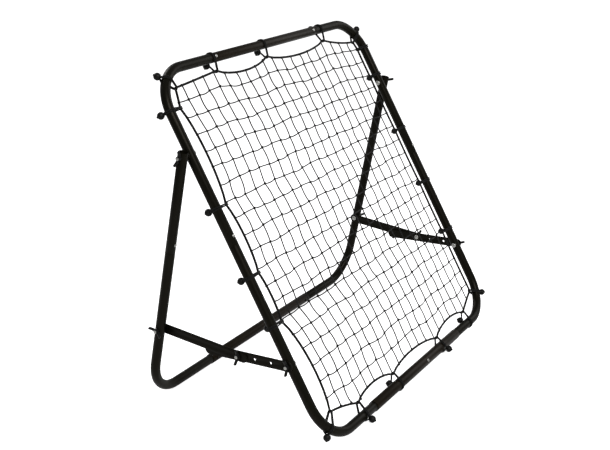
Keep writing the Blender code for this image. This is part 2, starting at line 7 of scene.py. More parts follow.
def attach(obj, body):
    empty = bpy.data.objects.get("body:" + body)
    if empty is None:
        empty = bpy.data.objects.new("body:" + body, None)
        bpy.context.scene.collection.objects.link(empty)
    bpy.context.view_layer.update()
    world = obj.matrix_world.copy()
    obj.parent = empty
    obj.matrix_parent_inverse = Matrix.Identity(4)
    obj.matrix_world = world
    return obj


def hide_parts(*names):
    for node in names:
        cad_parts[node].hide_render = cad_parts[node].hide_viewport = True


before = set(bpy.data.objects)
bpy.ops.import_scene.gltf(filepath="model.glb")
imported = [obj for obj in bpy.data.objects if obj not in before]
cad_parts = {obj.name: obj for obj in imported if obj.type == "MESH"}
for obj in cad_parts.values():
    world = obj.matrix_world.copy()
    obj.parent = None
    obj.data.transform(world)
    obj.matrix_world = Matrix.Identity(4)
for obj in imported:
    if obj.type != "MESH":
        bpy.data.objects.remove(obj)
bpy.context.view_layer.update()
print("frame loaded")

layout = {  # where the main lines of the object run
    "lean": 31, "half": 0.489, "high": 0.978, "depth": -0.2511, "axisHigh": 0.01764,
    "pivotUp": 0.770, "footBack": 0.512, "footHigh": 0.013813, "legX": 0.519434, "legBolt": 0.470,
    "stayUp": 0.217, "elbowOut": 0.138, "elbowSag": 0.012,
    "stayFrontX": 0.501567, "stayRearX": 0.504367, "stayThick": 0.0025,
    "barHalf": 0.26, "sideJoint": 0.53, "legJoint": 0.25,
    "gap": 0.0003,  # left free where two pieces meet
}
half, high, barHalf, gap = layout["half"], layout["high"], layout["barHalf"], layout["gap"]
lean = radians(layout["lean"])
across = Vector((1, 0, 0))
rear = Vector((0, 1, 0))
upFrame = Vector((0, sin(lean), cos(lean)))
behind = Vector((0, cos(lean), -sin(lean)))


def onFrame(x, up, back=0.0):
    base = Vector((x, layout["depth"], layout["axisHigh"]))
    return base + upFrame * up + behind * back


pivot = onFrame(0, layout["pivotUp"])
foot = Vector((0, layout["depth"] + layout["footBack"], layout["footHigh"]))
downLeg = (foot - pivot).normalized()
stayFrame = onFrame(0, layout["stayUp"])
stayLeg = pivot + downLeg * layout["legBolt"]
stayLine = (stayLeg - stayFrame).normalized()
elbow = stayFrame + stayLine * layout["elbowOut"] + stayLine.cross(across) * layout["elbowSag"]
frontLine = (elbow - stayFrame).normalized()
rearLine = (elbow - stayLeg).normalized()


# materials

def newFinish(name, rough, metal=0.0, spec=0.5):
    finish = bpy.data.materials.new(name)
    finish.use_nodes = True
    tree = finish.node_tree
    shader = tree.nodes["Principled BSDF"]
    shader.inputs["Roughness"].default_value = rough
    shader.inputs["Metallic"].default_value = metal
    shader.inputs["Specular IOR Level"].default_value = spec
    return finish, tree, shader


def addNoise(tree, scale, detail=3.0, rough=0.55):
    place = tree.nodes.new("ShaderNodeTexCoord")
    noise = tree.nodes.new("ShaderNodeTexNoise")
    noise.inputs["Scale"].default_value = scale
    noise.inputs["Detail"].default_value = detail
    noise.inputs["Roughness"].default_value = rough
    tree.links.new(place.outputs["Object"], noise.inputs["Vector"])
    return noise


def addRamp(tree, source, stops):
    ramp = tree.nodes.new("ShaderNodeValToRGB")
    ramp.color_ramp.elements[0].position = stops[0][0]
    ramp.color_ramp.elements[0].color = (*stops[0][1], 1)
    ramp.color_ramp.elements[1].position = stops[-1][0]
    ramp.color_ramp.elements[1].color = (*stops[-1][1], 1)
    for spot, colour in stops[1:-1]:
        ramp.color_ramp.elements.new(spot).color = (*colour, 1)
    tree.links.new(source, ramp.inputs["Fac"])
    return ramp


def addBump(tree, shader, source, strength, distance):
    bump = tree.nodes.new("ShaderNodeBump")
    bump.inputs["Strength"].default_value = strength
    bump.inputs["Distance"].default_value = distance
    tree.links.new(source, bump.inputs["Height"])
    tree.links.new(bump.outputs["Normal"], shader.inputs["Normal"])


def powderCoat(name, tint):
    finish, tree, shader = newFinish(name, rough=0.4, spec=0.08)
    shader.inputs["Specular Tint"].default_value = (1.0, 0.9, 0.76, 1)
    patches = addNoise(tree, scale=9.0, detail=4.0)
    shade = addRamp(tree, patches.outputs["Fac"], [
        (0.3, tuple(c * 0.75 for c in tint)), (0.55, tint), (0.75, tuple(c * 1.3 for c in tint))])
    tree.links.new(shade.outputs["Color"], shader.inputs["Base Color"])
    satin = addRamp(tree, patches.outputs["Fac"], [(0.3, (0.3,) * 3), (0.75, (0.4,) * 3)])
    tree.links.new(satin.outputs["Color"], shader.inputs["Roughness"])
    peel = addNoise(tree, scale=900.0, detail=2.0)
    addBump(tree, shader, peel.outputs["Fac"], strength=0.12, distance=0.0004)
    return finish


def zincPlate():
    finish, tree, shader = newFinish("zincPlate", rough=0.36, metal=0.85)
    bloom = addNoise(tree, scale=260.0, detail=5.0)
    shade = addRamp(tree, bloom.outputs["Fac"], [
        (0.3, (0.26, 0.26, 0.24)), (0.6, (0.42, 0.42, 0.40)), (0.8, (0.54, 0.53, 0.50))])
    tree.links.new(shade.outputs["Color"], shader.inputs["Base Color"])
    satin = addRamp(tree, bloom.outputs["Fac"], [(0.3, (0.28,) * 3), (0.75, (0.46,) * 3)])
    tree.links.new(satin.outputs["Color"], shader.inputs["Roughness"])
    addBump(tree, shader, bloom.outputs["Fac"], strength=0.1, distance=0.0002)
    return finish


def mouldedBlack():
    finish, tree, shader = newFinish("mouldedBlack", rough=0.45, spec=0.12)
    grain = addNoise(tree, scale=1400.0, detail=2.0)
    shade = addRamp(tree, grain.outputs["Fac"], [(0.3, (0.003,) * 3), (0.75, (0.006, 0.006, 0.005))])
    tree.links.new(shade.outputs["Color"], shader.inputs["Base Color"])
    addBump(tree, shader, grain.outputs["Fac"], strength=0.15, distance=0.0002)
    return finish


def braidedElastic():
    finish, tree, shader = newFinish("braidedElastic", rough=0.8, spec=0.1)
    place = tree.nodes.new("ShaderNodeTexCoord")
    weave = tree.nodes.new("ShaderNodeTexVoronoi")
    weave.inputs["Scale"].default_value = 950.0
    tree.links.new(place.outputs["Object"], weave.inputs["Vector"])
    shade = addRamp(tree, weave.outputs["Distance"], [
        (0.0, (0.010, 0.010, 0.009)), (0.7, (0.003,) * 3)])
    tree.links.new(shade.outputs["Color"], shader.inputs["Base Color"])
    shader.inputs["Sheen Weight"].default_value = 0.04
    addBump(tree, shader, weave.outputs["Distance"], strength=0.5, distance=0.0004)
    return finish


def knottedTwine(name, dark, pale):
    finish, tree, shader = newFinish(name, rough=0.85, spec=0.1)
    fibre = addNoise(tree, scale=700.0, detail=4.0, rough=0.7)
    shade = addRamp(tree, fibre.outputs["Fac"], [(0.3, dark), (0.75, pale)])
    tree.links.new(shade.outputs["Color"], shader.inputs["Base Color"])
    shader.inputs["Sheen Weight"].default_value = 0.04
    addBump(tree, shader, fibre.outputs["Fac"], strength=0.5, distance=0.0004)
    return finish


coatBlack = powderCoat("coatBlack", (0.0036, 0.0034, 0.0021))
# a lighter, warmer copy of the same powder coat for the horizontal bars: painted highlight where the light
# falls on them
coatPaintedHighlight = powderCoat("coatPaintedHighlight", (0.0082, 0.0060, 0.0037))
zinc = zincPlate()
nutBlack = mouldedBlack()
elastic = braidedElastic()
twine = knottedTwine("netTwine", (0.006, 0.006, 0.006), (0.018, 0.018, 0.017))
# the knots get a darker copy of the twine: painted shade in the folds of each knot
knotShadedTwine = knottedTwine("knotShadedTwine", (0.003, 0.003, 0.003), (0.010, 0.010, 0.009))
print("finishes made")


# shared steps

def startPiece():
    if bpy.context.mode != "OBJECT":
        bpy.ops.object.mode_set(mode="OBJECT")
    bpy.ops.object.select_all(action="DESELECT")


def pick(piece):
    startPiece()
    piece.select_set(True)
    bpy.context.view_layer.objects.active = piece


def applyAll(piece):
    pick(piece)
    for step in list(piece.modifiers):
        bpy.ops.object.modifier_apply(modifier=step.name)


def selectFaces(piece, wanted):
    mesh = piece.data
    for parts in (mesh.polygons, mesh.edges, mesh.vertices):
        for part in parts:
            part.select = False
    for face in mesh.polygons:
        if wanted(face):
            face.select = True
            for corner in face.vertices:
                mesh.vertices[corner].select = True
    for edge in mesh.edges:
        edge.select = all(mesh.vertices[end].select for end in edge.vertices)


def settle(piece, finish, smooth=35):
    pick(piece)
    bpy.ops.object.transform_apply(location=True, rotation=True, scale=True)
    bpy.ops.object.mode_set(mode="EDIT")
    bpy.ops.mesh.select_all(action="SELECT")
    bpy.ops.mesh.normals_make_consistent(inside=False)
    bpy.ops.object.mode_set(mode="OBJECT")
    bpy.ops.object.shade_smooth_by_angle(angle=radians(smooth))
    if finish:
        piece.data.materials.clear()
        piece.data.materials.append(finish)
    return piece


def stands(piece, node, body):
    piece.name = "look_" + node
    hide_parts(node)
    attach(piece, body)


def softenEdges(piece, width, steps=2, sharp=40):
    edge = piece.modifiers.new("softEdge", "BEVEL")
    edge.width = width
    edge.segments = steps
    edge.limit_method = "ANGLE"
    edge.angle_limit = radians(sharp)
    applyAll(piece)


# tubes

tube = {
    "radius": 0.0127, "sleeve": 0.0143, "crossbar": 0.01381, "wall": 0.0012, "rim": 0.00045,
    "face": 0.01227,  # from the axis to where bolt heads and nuts bear
    "spigot": 0.0112, "spigotLong": 0.045, "lap": 0.04, "legTop": 0.013,
    "cornerBend": 0.105, "footBend": 0.105, "bendSteps": 20, "bendSlip": 0.01, "sides": 40}


def tubeRing(place, facing, radius):
    startPiece()
    turn = facing.to_track_quat("Z", "Y").to_euler()
    bpy.ops.mesh.primitive_circle_add(vertices=tube["sides"], radius=radius, location=place, rotation=turn)
    bpy.ops.object.mode_set(mode="EDIT")
    bpy.ops.mesh.select_all(action="SELECT")
    return bpy.context.object


def pullRing(step):
    bpy.ops.mesh.extrude_region_move(TRANSFORM_OT_translate={"value": step, "orient_type": "GLOBAL"})


def drawRing(centre, ratio):
    bpy.ops.mesh.extrude_region_move(TRANSFORM_OT_translate={"value": (0, 0, 0)})
    bpy.ops.transform.resize(value=(ratio,) * 3, center_override=centre)


def ringCentre(piece):
    piece.update_from_editmode()
    spots = [piece.matrix_world @ v.co for v in piece.data.vertices if v.select]
    return sum(spots, Vector()) / len(spots)


def bendRing(piece, centre, axis, goal):
    before = ringCentre(piece)
    swing = (before - centre).angle(goal - centre)
    sign = 1 if axis.dot((before - centre).cross(goal - centre)) > 0 else -1
    bpy.ops.mesh.spin(steps=tube["bendSteps"], angle=-swing * sign, center=centre, axis=axis)
    if (ringCentre(piece) - goal).length > tube["bendSlip"]:
        print("bend turned the wrong way", piece.name)


def finishTube(piece, finish):
    settle(piece, finish)
    wall = piece.modifiers.new("wall", "SOLIDIFY")
    wall.thickness = tube["wall"]
    wall.offset = -1
    wall.use_even_offset = True
    applyAll(piece)
    softenEdges(piece, tube["rim"])
    return settle(piece, finish)


def bentTube(start, corner, end, bend, firstSpigot=False, lastSpigot=False):
    into = (corner - start).normalized()
    out = (end - corner).normalized()
    slim = tube["spigot"] / tube["radius"]
    if firstSpigot:
        tip = start - into * tube["spigotLong"]
        piece = tubeRing(tip, into, tube["spigot"])
        pullRing(start - tip)
        drawRing(start, 1 / slim)
    else:
        piece = tubeRing(start, into, tube["radius"])
    bendStart = corner - into * bend
    bendEnd = corner + out * bend
    pullRing(bendStart - start)
    bendRing(piece, bendStart + out * bend, into.cross(out), bendEnd)
    pullRing(end - bendEnd)
    if lastSpigot:
        drawRing(end, slim)
        pullRing(out * tube["spigotLong"])
    return finishTube(piece, coatBlack)


def straightTube(start, end, radius, finish):
    piece = tubeRing(start, (end - start).normalized(), radius)
    pullRing(end - start)
    return finishTube(piece, finish)


for side, hand in (("left", -1), ("right", 1)):
    x = hand * half
    piece = bentTube(onFrame(hand * (barHalf + gap), high), onFrame(x, high),
                     onFrame(x, layout["sideJoint"] + gap), tube["cornerBend"], firstSpigot=True)
    stands(piece, "upper_corner_tube_" + side, "frame")
    piece = bentTube(onFrame(hand * (barHalf - tube["lap"]), 0), onFrame(x, 0),
                     onFrame(x, layout["sideJoint"]), tube["cornerBend"], lastSpigot=True)
    stands(piece, "lower_corner_tube_" + side, "frame")
    legSide = across * hand * layout["legX"]
    piece = straightTube(pivot + legSide - downLeg * tube["legTop"],
                         pivot + legSide + downLeg * (layout["legJoint"] - gap), tube["radius"], coatBlack)
    stands(piece, "upper_leg_tube_" + side, "rear_leg")
    piece = bentTube(pivot + legSide + downLeg * layout["legJoint"], foot + legSide,
                     foot + across * hand * (barHalf - tube["lap"]), tube["footBend"], firstSpigot=True)
    stands(piece, "lower_leg_tube_" + side, "rear_leg")
bars = {"top_bar": (onFrame(0, high), tube["radius"], "frame"),
        "bottom_bar": (onFrame(0, 0), tube["sleeve"], "frame"),
        "rear_crossbar": (foot, tube["crossbar"], "rear_leg")}
# the bars take the lighter copy of the coat, a painted highlight
for node, (middle, radius, body) in bars.items():
    piece = straightTube(middle - across * barHalf, middle + across * barHalf, radius, coatPaintedHighlight)
    stands(piece, node, body)
print("tubes made")


# stay bars

stay = {
    "tall": 0.0265, "end": 0.0135, "edge": 0.0005, "rearLap": 0.026, "tail": 0.100,
    "round": 0.998, "roundSteps": 14,  # the ends' rounding, as a share of half the bar's height
    "hole": 0.0045, "spareHole": 0.0032, "spare": 0.046, "holeSides": 28, "drillLong": 0.02,
    "lugBack": 0.020, "lugLong": 0.007, "lugDeep": 0.004, "lugRoot": 0.003}


def stayBar(start, line, after, nearX, hand, holes, lugAt=None):
    tall, thick = stay["tall"], layout["stayThick"]
    length = after + stay["end"]
    startPiece()
    bpy.ops.mesh.primitive_plane_add(size=1, location=((after - stay["end"]) / 2, 0, 0))
    piece = bpy.context.object
    piece.scale = (length, tall, 1)
    bpy.ops.object.transform_apply(location=True, rotation=True, scale=True)
    bpy.ops.object.mode_set(mode="EDIT")
    bpy.ops.mesh.select_all(action="SELECT")
    bpy.ops.mesh.bevel(offset=tall / 2 * stay["round"], segments=stay["roundSteps"], affect="VERTICES")
    bpy.ops.mesh.select_all(action="SELECT")
    bpy.ops.mesh.extrude_region_move(TRANSFORM_OT_translate={"value": (0, 0, thick)})
    bpy.ops.mesh.select_all(action="SELECT")
    bpy.ops.mesh.normals_make_consistent(inside=False)
    bpy.ops.object.mode_set(mode="OBJECT")
    helpers = []
    for along, radius in holes:
        startPiece()
        bpy.ops.mesh.primitive_cylinder_add(vertices=stay["holeSides"], radius=radius,
                                            depth=stay["drillLong"], location=(along, 0, 0))
        helpers.append((bpy.context.object, "DIFFERENCE"))
    if lugAt is not None:
        startPiece()
        deep = stay["lugDeep"] + stay["lugRoot"]
        low = -hand * (tall / 2 - stay["lugRoot"] + deep / 2)
        bpy.ops.mesh.primitive_cube_add(size=1, location=(lugAt + stay["lugLong"] / 2, low, thick / 2))
        bpy.context.object.scale = (stay["lugLong"], deep, thick)
        helpers.append((bpy.context.object, "UNION"))
    for helper, way in helpers:
        step = piece.modifiers.new(way, "BOOLEAN")
        step.operation = way
        step.solver = "EXACT"
        step.object = helper
    applyAll(piece)
    for helper, _ in helpers:
        bpy.data.objects.remove(helper, do_unlink=True)
    softenEdges(piece, stay["edge"])
    outward = across * hand
    turned = Matrix((line, outward.cross(line), outward)).transposed().to_4x4()
    piece.matrix_world = Matrix.Translation(start + outward * nearX) @ turned
    return settle(piece, coatBlack)


for side, hand in (("left", -1), ("right", 1)):
    reach = (elbow - stayFrame).length
    holes = [(0, stay["hole"]), (stay["spare"], stay["spareHole"]),
             (2 * stay["spare"], stay["spareHole"]), (reach, stay["hole"])]
    lugAt = layout["elbowOut"] + stay["tail"] - stay["lugBack"]
    piece = stayBar(stayFrame, frontLine, reach + stay["tail"], layout["stayFrontX"], hand, holes, lugAt)
    stands(piece, "front_stay_bar_" + side, "front_stay_" + side)
    reach = (elbow - stayLeg).length
    piece = stayBar(stayLeg, rearLine, reach + stay["rearLap"], layout["stayRearX"], hand,
                    [(0, stay["hole"]), (reach, stay["hole"])])
    stands(piece, "rear_stay_bar_" + side, "rear_stay_" + side)
print("stays made")


# bolts, screws and rivets

bolt = {
    "shank": 0.004, "head": 0.0068, "headTall": 0.004, "sides": 32, "soft": 0.2,
    "sink": 0.0005, "pastNut": 0.0098, "collar": 1.3, "headGap": 0.0001,
    "rim": 0.45, "dome": ((0.9, 0.22), (0.78, 0.16), (0.7, 0.12), (0.6, 0.05)),  # shares of the head
    "screw": 0.0018, "screwHead": 0.0042, "screwTall": 0.0019, "screwLong": 0.005, "screwSink": 0.0003,
    "topScrewX": 0.243, "lowScrewX": 0.045, "rivetX": 0.24, "rivetHalf": 0.0142}


def domedHead(radius, tall):
    startPiece()
    rim = tall * bolt["rim"]
    bpy.ops.mesh.primitive_cylinder_add(vertices=bolt["sides"], radius=radius, depth=rim,
                                        location=(0, 0, rim / 2))
    piece = bpy.context.object
    selectFaces(piece, lambda face: face.normal.z > 0.9)
    bpy.ops.object.mode_set(mode="EDIT")
    for ratio, rise in bolt["dome"]:
        bpy.ops.mesh.extrude_region_move(TRANSFORM_OT_translate={"value": (0, 0, tall * rise)})
        bpy.ops.transform.resize(value=(ratio, ratio, 1))
    bpy.ops.object.mode_set(mode="OBJECT")
    return piece


def shankOf(radius, low, top):
    startPiece()
    bpy.ops.mesh.primitive_cylinder_add(vertices=bolt["sides"], radius=radius, depth=top - low,
                                        location=(0, 0, (low + top) / 2))
    piece = bpy.context.object
    softenEdges(piece, radius * bolt["soft"])
    return piece


def joinPieces(pieces):
    startPiece()
    for piece in pieces:
        piece.select_set(True)
    bpy.context.view_layer.objects.active = pieces[0]
    bpy.ops.object.transform_apply(location=True, rotation=True, scale=True)
    bpy.ops.object.join()
    return bpy.context.object


def faceAlong(piece, place, way, wing=None):
    if wing is None:
        turned = way.to_track_quat("Z", "Y").to_matrix().to_4x4()
    else:
        turned = Matrix((wing, way.cross(wing), way)).transposed().to_4x4()
    piece.matrix_world = Matrix.Translation(place) @ turned


def plainBolt(place, hand, headX, tipX, collar=None):
    out = across * hand
    head = domedHead(bolt["head"], bolt["headTall"])
    parts = [head, shankOf(bolt["shank"], headX - tipX, bolt["sink"])]
    for part in parts:
        part.data.materials.append(zinc)
    if collar:
        spacer = shankOf(bolt["head"] * bolt["collar"], headX - collar[1], headX - collar[0])
        spacer.data.materials.append(coatBlack)
        parts.append(spacer)
    piece = joinPieces(parts)
    faceAlong(piece, place + out * headX, -out)
    return settle(piece, None)


innerSeat = half - tube["face"] - gap
legSeat = layout["legX"] + tube["face"] + gap
staySeat = layout["stayFrontX"] + layout["stayThick"] + gap
elbowSeat = layout["stayRearX"] + layout["stayThick"] + gap
for side, hand in (("left", -1), ("right", 1)):
    collar = (layout["stayFrontX"], layout["stayRearX"] + layout["stayThick"])
    stands(plainBolt(pivot, hand, innerSeat, legSeat + bolt["pastNut"], collar),
           "leg_pivot_bolt_" + side, "frame")
    stands(plainBolt(stayLeg, hand, layout["stayRearX"] - gap, legSeat + bolt["pastNut"]),
           "leg_stay_bolt_" + side, "rear_leg")
    stands(plainBolt(stayFrame, hand, innerSeat, staySeat + bolt["pastNut"]),
           "frame_stay_bolt_" + side, "frame")
    stands(plainBolt(elbow, hand, layout["stayFrontX"] - gap, staySeat - gap),
           "elbow_bolt_" + side, "front_stay_" + side)


def panScrew(place, way, seat):
    head = domedHead(bolt["screwHead"], bolt["screwTall"])
    piece = joinPieces([head, shankOf(bolt["screw"], -bolt["screwLong"], bolt["screwSink"])])
    faceAlong(piece, place + way * seat, way)
    return settle(piece, zinc)


forward = across.cross(downLeg)
forward = forward if forward.y < 0 else -forward
onTube = tube["radius"] + bolt["headGap"]
onCrossbar = tube["crossbar"] + bolt["headGap"]
for side, hand in (("left", -1), ("right", 1)):
    joint = onFrame(hand * half, layout["sideJoint"] + tube["spigotLong"] / 2)
    stands(panScrew(joint, -behind, onTube), "side_joint_screw_" + side, "frame")
    joint = pivot + across * hand * layout["legX"] + downLeg * (layout["legJoint"] - tube["spigotLong"] / 2)
    stands(panScrew(joint, forward, onTube), "leg_joint_screw_" + side, "rear_leg")
    headA = domedHead(bolt["screwHead"], bolt["screwTall"])
    faceAlong(headA, rear * onCrossbar, rear)
    headB = domedHead(bolt["screwHead"], bolt["screwTall"])
    faceAlong(headB, -rear * onCrossbar, -rear)
    stem = shankOf(bolt["screw"], -bolt["rivetHalf"], bolt["rivetHalf"])
    faceAlong(stem, Vector(), rear)
    piece = joinPieces([headA, headB, stem])
    piece.location = foot + across * hand * bolt["rivetX"]
    stands(settle(piece, coatBlack), "crossbar_rivet_" + side, "rear_leg")

barScrews = {"lookScrewTopLeft": (onFrame(-bolt["topScrewX"], high), tube["radius"]),
             "lookScrewTopRight": (onFrame(bolt["topScrewX"], high), tube["radius"]),
             "lookScrewBottom": (onFrame(bolt["lowScrewX"], 0), tube["sleeve"])}
for name, (place, radius) in barScrews.items():
    piece = panScrew(place, -behind, radius)
    piece.name = name
    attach(piece, "frame")
print("fasteners made")


# wing nuts

wingNut = {
    "hub": 0.0068, "taper": 0.82, "tall": 0.008, "edge": 0.0006, "edgeSteps": 3,
    "hole": 0.0043, "drillLong": 0.03, "studLow": 0.0028, "studOver": 0.0018,
    "earOut": 0.0064, "earUp": 0.0040, "earLong": 0.0036, "earThick": 0.0066, "earTall": 0.0084,
    "earFull": 1.3, "earSame": 0.00001,  # fullness lost to smoothing, and what counts as the ear's tip
    "earSteps": ((0.0042, 0.0022, 1.0), (0.0046, 0.0036, 1.0), (0.0034, 0.0018, 0.95)),
    "turns": {"leg_pivot": (20, 80), "leg_stay": (-60, 65), "elbow": (5, 20), "frame_stay": (-8, 80)}}


def nutEar(way):
    startPiece()
    bpy.ops.mesh.primitive_cube_add(size=1, location=(way * wingNut["earOut"], 0, wingNut["earUp"]))
    ear = bpy.context.object
    ear.scale = (wingNut["earLong"], wingNut["earThick"] * wingNut["earFull"], wingNut["earTall"])
    bpy.ops.object.transform_apply(location=True, rotation=True, scale=True)
    for out, rise, tallRatio in wingNut["earSteps"]:
        tip = max(v.co.x * way for v in ear.data.vertices)
        selectFaces(ear, lambda face: face.center.x * way > tip - wingNut["earSame"])
        bpy.ops.object.mode_set(mode="EDIT")
        bpy.ops.mesh.extrude_region_move(TRANSFORM_OT_translate={"value": (way * out, 0, rise)})
        bpy.ops.transform.resize(value=(1, 1, tallRatio))
        bpy.ops.object.mode_set(mode="OBJECT")
    soft = ear.modifiers.new("soft", "SUBSURF")
    soft.levels = soft.render_levels = 2
    applyAll(ear)
    return ear


def nutHub(solid):
    startPiece()
    wide, tall = wingNut["hub"], wingNut["tall"]
    bpy.ops.mesh.primitive_cone_add(vertices=bolt["sides"], radius1=wide, radius2=wide * wingNut["taper"],
                                    depth=tall, location=(0, 0, tall / 2))
    hub = bpy.context.object
    softenEdges(hub, wingNut["edge"], wingNut["edgeSteps"])
    if not solid:
        startPiece()
        bpy.ops.mesh.primitive_cylinder_add(vertices=bolt["sides"], radius=wingNut["hole"],
                                            depth=wingNut["drillLong"])
        drill = bpy.context.object
        step = hub.modifiers.new("drill", "BOOLEAN")
        step.operation = "DIFFERENCE"
        step.solver = "EXACT"
        step.object = drill
        applyAll(hub)
        bpy.data.objects.remove(drill, do_unlink=True)
    return hub


def wingNutPiece(place, hand, turn, solid):
    parts = [nutHub(solid), nutEar(1), nutEar(-1)]
    for part in parts:
        part.data.materials.append(nutBlack)
    if solid:
        stud = shankOf(bolt["shank"], -wingNut["studLow"], wingNut["tall"] + wingNut["studOver"])
        stud.data.materials.append(zinc)
        parts.append(stud)
    piece = joinPieces(parts)
    faceAlong(piece, place, across * hand, Vector((0, -sin(turn), cos(turn))))
    return settle(piece, None)


nutPlaces = {"leg_pivot": (pivot, legSeat), "leg_stay": (stayLeg, legSeat),
             "frame_stay": (stayFrame, staySeat), "elbow": (elbow, elbowSeat)}
for side, hand in (("left", -1), ("right", 1)):
    for name, (place, seat) in nutPlaces.items():
        turn = radians(wingNut["turns"][name][hand > 0])
        piece = wingNutPiece(place + across * hand * seat, hand, turn, name == "elbow")
        stands(piece, name + "_wing_nut_" + side, name + "_nut_" + side)
print("wing nuts made")


# border rope and the bungees that hold it

tie = {  # place along each tube, and the ball's angle round it from straight out towards the rear
    "top": [(-0.254, 118), (-0.019, 122), (0.286, 62)],
    "right": [(0.888, 38), (0.796, 98), (0.615, 98), (0.437, 98), (0.272, 98)],
    "bottom": [(0.353, 125), (0.156, -60), (-0.118, 112), (-0.312, -50)],
    "left": [(0.316, 112), (0.446, 82), (0.627, 82), (0.881, 60)],
    "corner": {"top_left": (50, 20), "top_right": (35, -10),
               "bottom_right": (27, -22), "bottom_left": (42, 5)},
    "sideRope": 0.040, "endRope": 0.034, "cornerRope": 0.034,  # from the tube's axis in to the rope
    "ownRope": {"bottom_2": 0.027, "bottom_3": 0.031, "bottom_left": 0.043, "top_left": 0.029},
    "rope": 0.0028, "ropeSkin": 0.0003, "ropeSteps": 10, "ropeRounding": 3, "bowPower": 0.8}
sag = {  # how far the rope bows in from one tie to the next, as a share of the span
    "top_left": 0.004, "top_1": 0.085, "top_2": 0.065, "top_3": 0.035, "bottom_right": 0.012,
    "bottom_1": 0.100, "bottom_2": 0.072, "bottom_3": 0.095, "bottom_4": 0.035,
    "bottom_left": 0.100, "left_1": 0.060, "left_2": 0.070, "left_3": 0.070, "other": 0.012}
bungee = {
    "cord": 0.0018, "apart": 0.0024, "eyeApart": 0.8, "ballApart": 0.001,
    "bite": 0.0003, "eyeGap": 0.0001, "eyeSteps": 10, "wrapStep": 12,
    "ball": 0.0095, "ballFar": 0.0065, "ballGap": 0.002, "ballSides": 28, "ballRings": 18,
    "nubFrom": 0.93, "nubLong": 0.0018, "nubShape": (0.7, 0.7, 0.4), "smooth": 60}


def cornerTie(name, hand, end, inward):
    place, ballTurn = tie["corner"][name]
    turn = radians(place)
    out = across * hand * cos(turn) - upFrame * inward * sin(turn)
    bend = tube["cornerBend"]
    centre = onFrame(hand * (half - bend), end + inward * bend)
    depth = tie["ownRope"].get(name, tie["cornerRope"])
    return name, centre + out * bend, behind.cross(out), out, tube["radius"], depth, ballTurn


def allTies():
    found = []
    plain, deepSide, deepEnd = tube["radius"], tie["sideRope"], tie["endRope"]
    for k, (x, turn) in enumerate(tie["top"]):
        found.append((f"top_{k + 1}", onFrame(x, high), across, upFrame, plain, deepEnd, turn))
    found.append(cornerTie("top_right", 1, high, -1))
    for k, (up, turn) in enumerate(tie["right"]):
        found.append((f"right_{k + 1}", onFrame(half, up), upFrame, across, plain, deepSide, turn))
    found.append(cornerTie("bottom_right", 1, 0, 1))
    for k, (x, turn) in enumerate(tie["bottom"]):
        name = f"bottom_{k + 1}"
        radius = tube["sleeve"] if abs(x) < barHalf else plain
        depth = tie["ownRope"].get(name, deepEnd)
        found.append((name, onFrame(x, 0), across, -upFrame, radius, depth, turn))
    found.append(cornerTie("bottom_left", -1, 0, 1))
    for k, (up, turn) in enumerate(tie["left"]):
        found.append((f"left_{k + 1}", onFrame(-half, up), upFrame, -across, plain, deepSide, turn))
    found.append(cornerTie("top_left", -1, high, -1))
    return found


def ropeRoute(ties, steps):
    middle = onFrame(0, high / 2)
    apexes = [point - out * depth for _, point, _, out, _, depth, _ in ties]
    route = []
    for k, start in enumerate(apexes):
        run = apexes[(k + 1) % len(apexes)] - start
        square = behind.cross(run).normalized()
        square = square if square.dot(middle - start) > 0 else -square
        bend = sag.get(ties[k][0], sag["other"])
        for step in range(steps):
            t = step / steps
            bow = square * run.length * bend * (4 * t * (1 - t)) ** tie["bowPower"]
            route.append(start + run * t + bow)
    return route


def cordPiece(name, routes, radius, closed, rounding=2):
    startPiece()
    line = bpy.data.curves.new(name, "CURVE")
    line.dimensions = "3D"
    line.bevel_depth = radius
    line.bevel_resolution = rounding
    line.use_fill_caps = True
    for route in routes:
        spline = line.splines.new("POLY")
        spline.points.add(len(route) - 1)
        for point, spot in zip(spline.points, route):
            point.co = (*spot, 1)
        spline.use_cyclic_u = closed
    piece = bpy.data.objects.new(name, line)
    bpy.context.scene.collection.objects.link(piece)
    pick(piece)
    bpy.ops.object.convert(target="MESH")
    return bpy.context.object


ties = allTies()
route = ropeRoute(ties, tie["ropeSteps"])
rope = cordPiece("rope", [route], tie["rope"] + tie["ropeSkin"], True, tie["ropeRounding"])
stands(settle(rope, elastic, bungee["smooth"]), "border_rope", "frame")


def bungeeRoute(oneTie, shift):
    _, point, along, out, radius, depth, ballTurn = oneTie
    wrap = radius + bungee["cord"] - bungee["bite"]
    eye = tie["rope"] + bungee["cord"] + bungee["eyeGap"]
    ballFar = radius + bungee["ballFar"]
    ball = radians(ballTurn)
    slack = acos((wrap - eye) / depth)
    ballOpen = acos(wrap / ballFar)
    eyeSteps = bungee["eyeSteps"]

    def spot(turn, far, aside):
        return point + (out * cos(turn) + behind * sin(turn)) * far + along * aside

    def eyeSpot(turn):
        return (point - out * depth + (out * cos(turn) + behind * sin(turn)) * eye
                + along * shift * bungee["apart"] * bungee["eyeApart"])

    def wrapSpots(start, end):
        if start <= end:
            return []
        steps = max(1, round((start - end) / radians(bungee["wrapStep"])))
        aside = shift * bungee["apart"]
        return [spot(start + (end - start) * k / steps, wrap, aside) for k in range(steps + 1)]

    spots = [eyeSpot(2 * pi - (pi - slack) - (2 * slack) * k / eyeSteps) for k in range(eyeSteps + 1)]
    spots += wrapSpots(pi - slack, ball + ballOpen)
    spots.append(spot(ball, ballFar, shift * bungee["ballApart"]))
    spots += wrapSpots(ball - ballOpen, slack - pi)
    return spots


